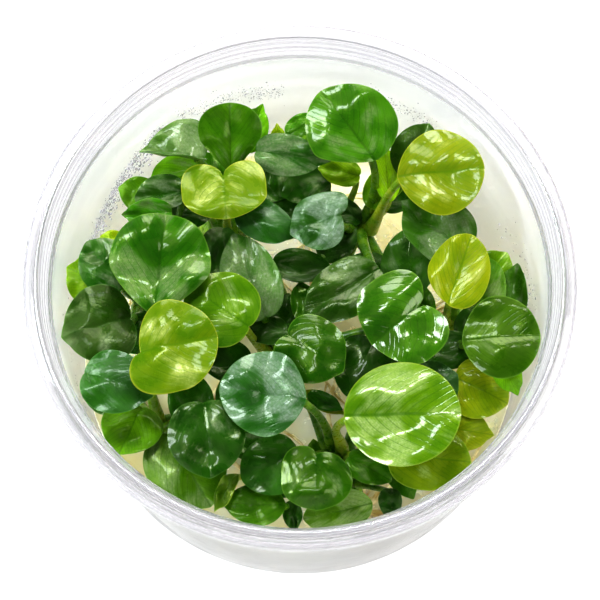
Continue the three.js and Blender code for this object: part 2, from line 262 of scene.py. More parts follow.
# face and deep are the two greens of the blade and vein its lines. The edge colour is a painted highlight
# along the rim, the pale patch colour is painted sheen, and sheen is the tint of its real reflections.
leafFinishes = {
    "gold": {"face": (0.38, 0.48, 0.006), "deep": (0.17, 0.33, 0.003), "vein": (0.08, 0.2, 0.002),
             "rimHighlight": (0.42, 0.44, 0.04), "veinShow": 0.65, "rough": 0.34, "speckle": 0.03,
             "paintedSheen": (0.6, 0.68, 0.22), "paintedSheenShow": 0.7, "sheen": (1, 1, 0.12)},
    "lime": {"face": (0.2, 0.41, 0.005), "deep": (0.075, 0.24, 0.002), "vein": (0.03, 0.14, 0.002),
             "rimHighlight": (0.3, 0.42, 0.04), "veinShow": 0.5, "rough": 0.32, "speckle": 0.03,
             "paintedSheen": (0.5, 0.64, 0.26), "paintedSheenShow": 0.7, "sheen": (0.9, 1, 0.12)},
    "green": {"face": (0.07, 0.26, 0.003), "deep": (0.02, 0.12, 0.0015), "vein": (0.01, 0.07, 0.001),
              "rimHighlight": (0.14, 0.3, 0.03), "veinShow": 0.45, "rough": 0.32, "speckle": 0.04,
              "paintedSheen": (0.25, 0.33, 0.14), "paintedSheenShow": 0.75, "sheen": (0.75, 1, 0.15)},
    "dark": {"face": (0.022, 0.115, 0.002), "deep": (0.005, 0.042, 0.001), "vein": (0.018, 0.1, 0.003),
             "rimHighlight": (0.06, 0.17, 0.02), "veinShow": 0.25, "rough": 0.34, "speckle": 0.07,
             "paintedSheen": (0.28, 0.35, 0.19), "paintedSheenShow": 0.8, "sheen": (0.85, 1, 0.4)},
    "teal": {"face": (0.024, 0.16, 0.01), "deep": (0.006, 0.065, 0.004), "vein": (0.01, 0.07, 0.004),
             "rimHighlight": (0.08, 0.22, 0.04), "veinShow": 0.35, "rough": 0.34, "speckle": 0.06,
             "paintedSheen": (0.33, 0.42, 0.33), "paintedSheenShow": 0.8, "sheen": (0.7, 1, 0.6)},
}


# streaked is the share of a pattern that runs along the veins: the rest is plain mottle. The painted
# sheen shows past the start of its edge. The reach of the painted rim highlight is 0 at the blade's
# middle and 1 at its edge.
bladeSkin = {"greenStreaked": 0.4, "paintedSheenStreaked": 0.6, "paintedSheenStep": 0.1, "paintedSheenEdge": (0.59, 0.7),
             "netGrain": 0.45, "netShow": 0.16, "rimHighlightReach": (0.965, 0.998), "rimHighlightShow": 0.6,
             "coatRough": 0.08, "glow": 0.08, "glowDepth": 0.8}


def clouds(tree, streaked, patchy, share):
    return calc(tree, "MULTIPLY_ADD", streaked, share, calc(tree, "MULTIPLY", patchy, 1 - share))


# The two greens in streaks and patches, shifted by the leaf's own hue and by its lightness, which is partly
# painted light.
def bladeGreen(tree, finish, number, across):
    mix = clouds(tree, contrast(tree, streaks(tree, number, across, 1.8)),
                 contrast(tree, mottle(tree, 7, 2)), bladeSkin["greenStreaked"])
    hue, value = mapValues(tree, "toneMap")
    shift = tree.nodes.new("ShaderNodeHueSaturation")
    feed(tree, shift.inputs["Hue"], hue)
    feed(tree, shift.inputs["Value"], value)
    feed(tree, shift.inputs["Color"], blendColours(tree, mix, finish["deep"], finish["face"]))
    return shift.outputs["Color"]


# How strongly the pale patches of painted sheen cover a point: the leaf's own share moves their edge.
def paintedSheenCover(tree, finish, number, across, paintedSheenShare):
    veil = clouds(tree, streaks(tree, number, across, 1.6), mottle(tree, 7, 1), bladeSkin["paintedSheenStreaked"])
    veil = calc(tree, "MULTIPLY_ADD", paintedSheenShare, bladeSkin["paintedSheenStep"], veil)
    grain = remap(tree, mottle(tree, 0.5, 3), 0.4, 0.7, 0.55, 1)
    return calc(tree, "MULTIPLY", remap(tree, veil, *bladeSkin["paintedSheenEdge"], 0, finish["paintedSheenShow"]), grain)


def makeBladeMaterial(name, finish):
    material, tree, shader = newMaterial(name)
    across, along = bladePlace(tree)
    number = veinNumber(tree, across, along)
    midrib = remap(tree, across, *veinShape["midribWidth"], 1, 0)
    sideVeins = calc(tree, "MULTIPLY", lines(tree, number, veinShape["perHalf"], veinShape["sideWidth"]),
                     remap(tree, across, 0.6, 1, veinShape["sideShow"], 0))
    fineVeins = lines(tree, number, veinShape["finePerHalf"], veinShape["fineWidth"])
    paintedSheenShare, gloss = mapValues(tree, "skinMap")

    tone = bladeGreen(tree, finish, number, across)
    # pale patches of painted sheen laid over the greens
    tone = blendColours(tree, paintedSheenCover(tree, finish, number, across, paintedSheenShare), tone, finish["paintedSheen"])
    net = remap(tree, cells(tree, bladeSkin["netGrain"]), 0, 0.12, bladeSkin["netShow"], 0)
    veins = calc(tree, "MULTIPLY", calc(tree, "MAXIMUM", midrib, sideVeins), finish["veinShow"])
    for show in (net, calc(tree, "MULTIPLY", fineVeins, veinShape["fineShow"]), veins):
        tone = blendColours(tree, show, tone, finish["vein"])
    # a thin painted highlight along the edge of the blade
    rimHighlight = remap(tree, flatDistance(tree, across, along), *bladeSkin["rimHighlightReach"], 0, bladeSkin["rimHighlightShow"])
    feed(tree, shader.inputs["Base Color"], blendColours(tree, rimHighlight, tone, finish["rimHighlight"]))

    worn = remap(tree, mottle(tree, 4, 5), 0.38, 0.66, finish["rough"] * 0.6, finish["rough"] * 1.5)
    feed(tree, shader.inputs["Roughness"], worn)
    shader.inputs["IOR"].default_value = 1.42
    feed(tree, shader.inputs["Specular Tint"], finish["sheen"])
    feed(tree, shader.inputs["Coat Weight"], gloss)
    shader.inputs["Coat Roughness"].default_value = bladeSkin["coatRough"]
    shader.inputs["Subsurface Weight"].default_value = bladeSkin["glow"]
    shader.inputs["Subsurface Radius"].default_value = (0.4, 0.9, 0.1)
    shader.inputs["Subsurface Scale"].default_value = bladeSkin["glowDepth"] * mm

    ridges = bumps(tree, shader, calc(tree, "MULTIPLY", sideVeins, -1), 0.012)
    pleats = bumps(tree, shader, streaks(tree, number, across, 4), 0.009, ridges)
    feed(tree, shader.inputs["Coat Normal"], pleats)
    skin = bumps(tree, shader, cells(tree, 0.3), 0.012, pleats)
    bumps(tree, shader, mottle(tree, 0.7, 4), finish["speckle"], skin)
    return material


def makeStemMaterial(name, young, old, rough):
    material, tree, shader = newMaterial(name)
    tone = blendColours(tree, contrast(tree, mottle(tree, 2.5, 4)), old, young)
    feed(tree, shader.inputs["Base Color"], tone)
    feed(tree, shader.inputs["Roughness"], remap(tree, mottle(tree, 0.8), 0.3, 0.7, rough, rough + 0.2))
    shader.inputs["Subsurface Weight"].default_value = 0.15
    shader.inputs["Subsurface Radius"].default_value = (0.6, 0.9, 0.2)
    shader.inputs["Subsurface Scale"].default_value = 1 * mm
    bumps(tree, shader, mottle(tree, 0.5, 5), 0.08)
    return material


# Rings that show on the lip: radius, half the width and how strongly they darken it.
lipRings = [(47.62, 0.25, 0.4), (48.85, 0.1, 0.2), (49.22, 0.13, 0.5), (49.6, 0.08, 0.3),
            (49.95, 0.08, 0.25), (50.35, 0.08, 0.3), (51, 0.1, 0.12), (51.75, 0.1, 0.2)]


def ringShade(tree):
    x, y, _ = split(tree, objectPlace(tree))
    radius = flatDistance(tree, x, y)
    shade = 0
    for middle, half, strength in lipRings:
        gap = calc(tree, "ABSOLUTE", calc(tree, "SUBTRACT", radius, middle * mm))
        shade = calc(tree, "MAXIMUM", remap(tree, gap, half * 0.3 * mm, half * mm, strength, 0), shade)
    return shade


# noise drawn out round the wall
def wallStreaks(tree):
    stretch = tree.nodes.new("ShaderNodeMapping")
    stretch.inputs["Scale"].default_value = (0.25, 0.25, 2.2)
    feed(tree, stretch.inputs["Vector"], objectPlace(tree))
    return remap(tree, mottle(tree, 9, 4, stretch.outputs[0]), 0.38, 0.62, 0, 1)


def makePlasticMaterial(name, haze, rough, tint, shade, ringed=False, paintedFootShade=0):
    material, tree, shader = newMaterial(name)
    feed(tree, shader.inputs["Roughness"], remap(tree, mottle(tree, 9, 4), 0.35, 0.7, rough, rough + 0.08))
    tone = blendColours(tree, wallStreaks(tree), tint, shade)
    clear = 1 - haze
    # painted shade: the outer wall greys towards its foot
    if paintedFootShade:
        z = split(tree, objectPlace(tree))["Z"]
        height = calc(tree, "MULTIPLY_ADD", mottle(tree, 16, 3), 8 * mm, z)
        tone = blendColours(tree, remap(tree, height, 28 * mm, 44 * mm, paintedFootShade, 0), tone, (0.34, 0.345, 0.33))
    if ringed:
        rings = ringShade(tree)
        tone = blendColours(tree, rings, tone, (0.56, 0.53, 0.6))
        clear = calc(tree, "MULTIPLY", calc(tree, "SUBTRACT", 1, rings), clear)
    feed(tree, shader.inputs["Base Color"], tone)
    feed(tree, shader.inputs["Transmission Weight"], clear)
    shader.inputs["IOR"].default_value = 1.49
    bumps(tree, shader, mottle(tree, 12, 2), 0.0015)
    return material


def makeWaterMaterial():
    material, tree, shader = newMaterial("condensation")
    shader.inputs["IOR"].default_value = 1.33
    shader.inputs["Transmission Weight"].default_value = 0.45
    tone = blendColours(tree, contrast(tree, mottle(tree, 2)), (0.68, 0.65, 0.72), (0.46, 0.46, 0.5))
    feed(tree, shader.inputs["Base Color"], tone)
    feed(tree, shader.inputs["Roughness"], remap(tree, mottle(tree, 4), 0.3, 0.7, 0, 0.03))
    return material


def makeGelMaterial():
    material, tree, shader = newMaterial("gel")
    tone = blendColours(tree, contrast(tree, mottle(tree, 14, 5)), (0.92, 0.82, 0.44), (1, 0.97, 0.76))
    feed(tree, shader.inputs["Base Color"], tone)
    feed(tree, shader.inputs["Roughness"], remap(tree, mottle(tree, 3), 0.3, 0.7, 0.12, 0.3))
    shader.inputs["IOR"].default_value = 1.34
    shader.inputs["Transmission Weight"].default_value = 0.3
    shader.inputs["Subsurface Weight"].default_value = 0.6
    shader.inputs["Subsurface Radius"].default_value = (1, 0.85, 0.55)
    shader.inputs["Subsurface Scale"].default_value = 4 * mm
    bumps(tree, shader, mottle(tree, 5, 3), 0.2)
    return material


def makeFloorMaterial():
    material, tree, shader = newMaterial("paleFloor")
    tone = blendColours(tree, mottle(tree, 60, 2), (0.5, 0.5, 0.5), (0.52, 0.52, 0.52))
    feed(tree, shader.inputs["Base Color"], tone)
    shader.inputs["Roughness"].default_value = 0.8
    shader.inputs["Emission Color"].default_value = (1, 1, 1, 1)
    shader.inputs["Emission Strength"].default_value = stageSettings["floorGlow"]
    return material


bladeMaterials = {name: makeBladeMaterial("leaf_" + name, look) for name, look in leafFinishes.items()}
undersideMaterial = makeStemMaterial("leafUnderside", (0.18, 0.33, 0.03), (0.1, 0.24, 0.015), 0.4)
petioleMaterials = {"pale": makeStemMaterial("palePetiole", (0.42, 0.5, 0.03), (0.2, 0.38, 0.01), 0.22),
                    "green": makeStemMaterial("greenPetiole", (0.17, 0.34, 0.01), (0.06, 0.2, 0.004), 0.22)}
rhizomeMaterial = makeStemMaterial("rhizome", (0.24, 0.42, 0.012), (0.08, 0.2, 0.005), 0.25)
rootMaterial = makeStemMaterial("root", (0.9, 0.8, 0.45), (0.5, 0.36, 0.1), 0.4)


def makeFloor():
    bm = bmesh.new()
    bmesh.ops.create_grid(bm, x_segments=4, y_segments=4, size=stageSettings["floorSize"] * mm / 2)
    bmesh.ops.translate(bm, verts=bm.verts, vec=(0, 0, -stageSettings["floorDrop"] * mm))
    mesh = bpy.data.meshes.new("floor")
    bm.to_mesh(mesh)
    bm.free()
    mesh.materials.append(makeFloorMaterial())
    floor = bpy.data.objects.new("floor", mesh)
    bpy.context.scene.collection.objects.link(floor)


makeFloor()


# Turns a bmesh into a piece of the object.
def finishPiece(bm, name, materials, replaced=()):
    bmesh.ops.recalc_face_normals(bm, faces=bm.faces)
    mesh = bpy.data.meshes.new(name)
    bm.to_mesh(mesh)
    bm.free()
    mesh.shade_smooth()
    mesh.set_sharp_from_angle(angle=math.radians(50))
    for material in materials:
        mesh.materials.append(material)
    piece = bpy.data.objects.new(name, mesh)
    bpy.context.scene.collection.objects.link(piece)
    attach(piece, "root")
    if replaced:
        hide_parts(*replaced)
    return piece


# Grows a closed round tube along the points, ring by ring.
def growTube(bm, points, radii, sides, materialIndex=0):
    older = set(bm.faces)
    headings = []
    for k in range(len(points)):
        ahead = points[min(k + 1, len(points) - 1)] - points[max(k - 1, 0)]
        headings.append(ahead.normalized())
    turn = Vector((0, 0, 1)).rotation_difference(headings[0]).to_matrix().to_4x4()
    start = Matrix.Translation(points[0]) @ turn
    ring = bmesh.ops.create_circle(bm, cap_ends=True, segments=sides, radius=radii[0], matrix=start)["verts"]
    end = ring[0].link_faces[0]
    for k in range(1, len(points)):
        grown = bmesh.ops.extrude_face_region(bm, geom=[end])["geom"]
        end = next(item for item in grown if isinstance(item, bmesh.types.BMFace))
        swing = headings[k - 1].rotation_difference(headings[k]).to_matrix().to_4x4()
        size = Matrix.Scale(radii[k] / radii[k - 1], 4)
        move = Matrix.Translation(points[k]) @ swing @ size @ Matrix.Translation(-points[k - 1])
        bmesh.ops.transform(bm, matrix=move, verts=list(end.verts))
    for face in bm.faces:
        if face not in older:
            face.material_index = materialIndex


print("cup")

cup = {"height": 60, "lip": 52.5, "mouth": 49.2, "seat": 47.5, "seatDepth": 6, "base": 45, "corner": 3,
       "wall": 0.9, "skirt": 2.6, "spinSteps": 360}


def wallInside(height):
    foot = cup["base"] - cup["wall"]
    rise = (height - cup["corner"]) / (cup["height"] - cup["seatDepth"] - cup["corner"])
    return foot + (cup["seat"] - foot) * rise


# Spins an outline of radius and height pairs round the Z axis.
def spinOutline(bm, outline, steps):
    rail = [bm.verts.new((radius * mm, 0, height * mm)) for radius, height in outline]
    edges = [bm.edges.new(pair) for pair in zip(rail, rail[1:])]
    bmesh.ops.spin(bm, geom=rail + edges, cent=(0, 0, 0), axis=(0, 0, 1), dvec=(0, 0, 0),
                   angle=math.tau, steps=steps, use_merge=True, use_duplicate=False)
    bmesh.ops.remove_doubles(bm, verts=bm.verts, dist=0.001 * mm)


# haze is the share of the light that a plastic scatters, so 0 is clear. It is streaked with tint and
# shade, ringed shows the lip's rings, and the last look is how much painted shade greys it towards the foot.
plasticLooks = {
    "clear": {"haze": 0.14, "rough": 0.03, "tint": (0.76, 0.745, 0.765), "shade": (0.71, 0.695, 0.72),
              "ringed": True},
    "fogged": {"haze": 0.3, "rough": 0.3, "tint": (0.945, 0.94, 0.95), "shade": (0.9, 0.895, 0.91)},
    "outer": {"haze": 0.2, "rough": 0.08, "tint": (0.88, 0.885, 0.88), "shade": (0.74, 0.75, 0.74),
              "paintedFootShade": 0.9},
    "skirt": {"haze": 0.18, "rough": 0.05, "tint": (0.72, 0.71, 0.73), "shade": (0.69, 0.68, 0.7)},
}


# Which plastic a face shows: the wall below the lid seat is fogged from inside.
def plasticAt(spot):
    flat = math.hypot(spot.x, spot.y)
    if flat > cup["lip"] - 0.35:
        return "skirt"
    if cup["corner"] < spot.z < cup["height"] - cup["seatDepth"] - 0.4:
        return "fogged" if flat < wallInside(spot.z) + 0.3 else "outer"
    return "clear"


def makeCup():
    base, seat, mouth, lip, top = (cup[key] for key in ("base", "seat", "mouth", "lip", "height"))
    inner = base - cup["wall"]
    seatTop = top - cup["seatDepth"]
    foot = top - 1.4 - cup["skirt"]
    # underside and outside wall, under the lip and round its skirt, seat, inside wall and floor
    outline = [(0, 0), (20, 0), (base - 3, 0), (base - 1.7, 0.25), (base - 0.75, 0.95), (base - 0.2, 1.9),
               (base, 3), (base + 1.1, 20), (base + 2.2, 37), (seat + 0.9, seatTop - 0.6),
               (seat + 1.25, seatTop + 0.6), (mouth + 0.9, top - 1.7), (mouth + 1.3, top - 1.35),
               (lip - 1, top - 1.5), (lip - 0.7, top - 2), (lip - 0.7, foot + 0.15), (lip - 0.5, foot),
               (lip - 0.1, foot), (lip, foot + 0.2), (lip, top - 1.6), (lip - 0.2, top - 1),
               (lip - 0.7, top - 0.6), (mouth + 1.4, top - 0.12), (mouth + 1.2, top), (mouth + 0.4, top),
               (mouth + 0.12, top - 0.15), (mouth, top - 0.5), (seat + 0.25, seatTop + 0.4),
               (seat, seatTop - 0.1), (seat - 0.12, seatTop - 0.6), (inner + 2.2, 36), (inner + 1.1, 19),
               (inner, 3.9), (inner - 0.2, 2.6), (inner - 0.8, 1.7), (inner - 1.8, 1.05),
               (inner - 3, cup["wall"]), (20, cup["wall"]), (0, cup["wall"])]
    bm = bmesh.new()
    spinOutline(bm, outline, cup["spinSteps"])
    names = list(plasticLooks)
    for face in bm.faces:
        face.material_index = names.index(plasticAt(face.calc_center_median() / mm))
    plastics = [makePlasticMaterial(name + "Plastic", **look) for name, look in plasticLooks.items()]
    return finishPiece(bm, "cupShell", plastics, ["cup"])


drop = {"smallest": 0.35, "sunk": 0.2, "flatness": 0.45, "tallest": 1.35, "sides": 7, "rings": 5}
# Bands of drops on the inside wall. Bearings and heights run from the start of a band to its end,
# spread is how far its drops stray up and down, and size is their largest radius.
dropBands = [
    {"bearings": (126, 162), "heights": (41.5, 27), "spread": 2.4, "count": 1400, "size": 0.19},
    {"bearings": (128, 165), "heights": (36.5, 23), "spread": 5, "count": 320, "size": 0.36},
    {"bearings": (94, 122), "heights": (40, 42), "spread": 4, "count": 420, "size": 0.2},
    {"bearings": (54, 74), "heights": (41, 43), "spread": 3.5, "count": 260, "size": 0.19},
    {"bearings": (0, 28), "heights": (38, 30), "spread": 6, "count": 60, "size": 0.26},
    {"bearings": (165, 205), "heights": (26, 34), "spread": 7, "count": 90, "size": 0.24},
]


def makeDrops():
    rng = random.Random(11)
    mesh = bpy.data.meshes.new("dropGroup")
    whole = bmesh.new()
    group = bmesh.new()
    grown = 0
    for band in dropBands:
        for _ in range(band["count"]):
            share = rng.random()
            start, end = band["bearings"]
            bearing = math.radians(start + (end - start) * share)
            first, last = band["heights"]
            height = first + (last - first) * share + rng.gauss(0, 0.5) * band["spread"]
            radius = band["size"] * (drop["smallest"] + (1 - drop["smallest"]) * rng.random() ** 3)
            out = wallInside(height) - radius * drop["sunk"]
            place = Vector((out * math.cos(bearing), out * math.sin(bearing), height)) * mm
            flat = Matrix.Diagonal((drop["flatness"], 1, rng.uniform(1, drop["tallest"]), 1))
            move = Matrix.Translation(place) @ Matrix.Rotation(bearing, 4, "Z") @ flat
            bmesh.ops.create_uvsphere(group, u_segments=drop["sides"], v_segments=drop["rings"],
                                      radius=radius * mm, matrix=move)
            grown += 1
            # a small group stays quick to add to
            if grown % 30 == 0:
                group.to_mesh(mesh)
                whole.from_mesh(mesh)
                group.clear()
    group.to_mesh(mesh)
    whole.from_mesh(mesh)
    group.free()
    bpy.data.meshes.remove(mesh)
    return finishPiece(whole, "condensation", [makeWaterMaterial()])


makeCup().visible_shadow = False  # the lamps shine in through the clear wall
makeDrops().visible_shadow = False

print("gel and roots")

gel = {"level": 13, "meniscus": 1, "gap": 0.3, "spinSteps": 96, "lumps": 0.25, "lumpScale": 120}


def makeGel():
    floor = cup["wall"] + gel["gap"]
    level = gel["level"]
    edge = wallInside(level + gel["meniscus"]) - gel["gap"] - 0.1
    foot = cup["base"] - cup["wall"] - gel["gap"]
    outline = [(0, floor), (20, floor), (foot - 3, floor), (foot - 1, floor + 0.8), (foot, floor + 3),
               (edge, level + gel["meniscus"] - 0.1), (edge - 0.2, level + gel["meniscus"]),
               (edge - 0.8, level + 0.35), (edge - 2, level)]
    outline += [(radius, level) for radius in range(40, 0, -4)] + [(0, level)]
    bm = bmesh.new()
    spinOutline(bm, outline, gel["spinSteps"])
    for vert in bm.verts:
        if vert.co.z > (level - 0.1) * mm:
            lump = noise.noise(vert.co * gel["lumpScale"]) * gel["lumps"] * mm
            vert.co.z -= abs(lump)
    return finishPiece(bm, "gelBlock", [makeGelMaterial()], ["gel"])


# A smooth curve through the points, as evenly spaced positions.
def smoothPath(points, count):
    ends = [points[0] * 2 - points[1]] + list(points) + [points[-1] * 2 - points[-2]]
    fine = []
    for k in range(len(points) - 1):
        a, b, c, d = ends[k:k + 4]
        for step in range(40):
            t = step / 40
            fine.append(0.5 * (2 * b + (c - a) * t + (2 * a - 5 * b + 4 * c - d) * t ** 2
                               + (3 * b - 3 * c + d - a) * t ** 3))
    fine.append(points[-1].copy())
    lengths = [0]
    for first, second in zip(fine, fine[1:]):
        lengths.append(lengths[-1] + (second - first).length)
    path = []
    k = 0
    for step in range(count):
        wanted = lengths[-1] * step / (count - 1)
        while k < len(fine) - 2 and lengths[k + 1] < wanted:
            k += 1
        share = (wanted - lengths[k]) / (lengths[k + 1] - lengths[k])
        path.append(fine[k].lerp(fine[k + 1], min(share, 1)))
    return path


rhizome = {"radius": 2, "sides": 20, "steps": 34, "ringEvery": 4, "ringDepth": 0.12, "endSize": 0.55,
           "endSteps": 3}
rhizomeRoutes = {
    "a": [(4, 33, 16), (9, 26, 21), (13, 20.5, 29)],
    "b": [(12, -35, 16), (10, -31, 21), (7, -26.5, 28)],
    "c": [(-36, -10, 16), (-32, -16, 21), (-28.5, -21, 28)],
    "d": [(-20, 27, 16), (-17, 22, 21), (-13, 16.5, 28)],
    "e": [(35, 12, 16), (34, 6, 21), (31.5, 0, 28)],
    "f": [(32, -26, 16), (29, -23, 21), (25, -19, 27)],
    "g": [(-34, 20, 16), (-33, 13, 21), (-31, 5, 28)],
    "h": [(2, 6, 16), (-1, 0, 21), (-5, -6, 28)],
}


def routeOf(key, count):
    return smoothPath([Vector(point) * mm for point in rhizomeRoutes[key]], count)


# Leaf scars ring the creeping stem, and its crown narrows to a bud.
def makeRhizome(key):
    path = routeOf(key, rhizome["steps"])
    radii = []
    for k in range(len(path)):
        scar = rhizome["ringDepth"] if k % rhizome["ringEvery"] == 0 else 0
        fromEnd = min(min(k, len(path) - 1 - k) / rhizome["endSteps"], 1)
        full = rhizome["endSize"] + (1 - rhizome["endSize"]) * math.sin(fromEnd * math.pi / 2)
        radii.append((rhizome["radius"] - scar) * mm * full)
    bm = bmesh.new()
    growTube(bm, path, radii, rhizome["sides"])
    return finishPiece(bm, "rhizome_" + key, [rhizomeMaterial], ["rhizome_" + key])


rootRoutes = {
    "root_1": [(16, 4, 14.2), (8, -6, 14.2), (6, -16, 14.2), (12, -25, 14.2)],
    "root_2": [(-12, -2, 14.2), (-18, -12, 14.2), (-14, -24, 14.2), (-2, -30, 14.2)],
}
mainRoot = {"radius": 0.6, "taper": 0.25, "sides": 10, "steps": 28}
fineRoots = {"perStem": {"b": 34, "c": 18, "h": 24}, "few": 7, "shortest": 8, "longest": 26,
             "radius": (0.2, 0.6), "taper": 0.7, "sides": 6, "steps": 12, "wander": 0.35, "fall": 0.5,
             "wallGap": 2.5}


def makeMainRoot(name):
    path = smoothPath([Vector(point) * mm for point in rootRoutes[name]], mainRoot["steps"])
    radii = [(mainRoot["radius"] - mainRoot["taper"] * k / len(path)) * mm for k in range(len(path))]
    bm = bmesh.new()
    growTube(bm, path, radii, mainRoot["sides"])
    return finishPiece(bm, name, [rootMaterial], [name])


# Fine roots leave each stem's foot and wander over the gel.
def makeFineRoots(key, rng):
    foot = Vector(rhizomeRoutes[key][0])
    bm = bmesh.new()
    for _ in range(fineRoots["perStem"].get(key, fineRoots["few"])):
        bearing = rng.uniform(0, math.tau)
        reach = rng.uniform(fineRoots["shortest"], fineRoots["longest"])
        step = reach / fineRoots["steps"]
        here = foot.copy()
        route = [here * mm]
        for k in range(fineRoots["steps"]):
            bearing += rng.uniform(-fineRoots["wander"], fineRoots["wander"])
            here = here + Vector((math.cos(bearing), math.sin(bearing), 0)) * step
            here.z = max(gel["level"] + 0.1, here.z - fineRoots["fall"])
            room = wallInside(gel["level"]) - fineRoots["wallGap"]
            flat = math.hypot(here.x, here.y)
            if flat > room:
                here.x *= room / flat
                here.y *= room / flat
            route.append(here * mm)
        thick = rng.uniform(*fineRoots["radius"]) * mm
        radii = [thick * (1 - fineRoots["taper"] * k / len(route)) for k in range(len(route))]
        growTube(bm, route, radii, fineRoots["sides"])
    return finishPiece(bm, "fineRoots_" + key, [rootMaterial])


makeGel()
for key in rhizomeRoutes:
    makeRhizome(key)
for name in rootRoutes:
    makeMainRoot(name)
rootRng = random.Random(5)
for key in rhizomeRoutes:
    makeFineRoots(key, rootRng)

print("leaves")

# cells is the blade's grid, edge the share of the thickness left at the rim, ripple the waves of the
# rim. The neck is the bend under the blade and the ankle the one over the foot, each as a share of
# the way between the two.
blade = {"thickness": 0.42, "edge": 0.35, "cells": 34, "smallCells": 20, "smallLength": 9,
         "ripple": 0.15, "lumps": 1.2, "lumpCount": 1.3, "pleats": 0.08, "pleatCount": 2.6,
         "midribDepth": 0.1, "midribWidth": 0.8, "veinDepth": 0.007}
petiole = {"topRadius": 0.75, "footRadius": 1.7, "sides": 14, "steps": 18, "lean": 0.6, "neck": 0.4,
           "ankle": 0.3, "footOut": 0.8, "footReach": 0.7}

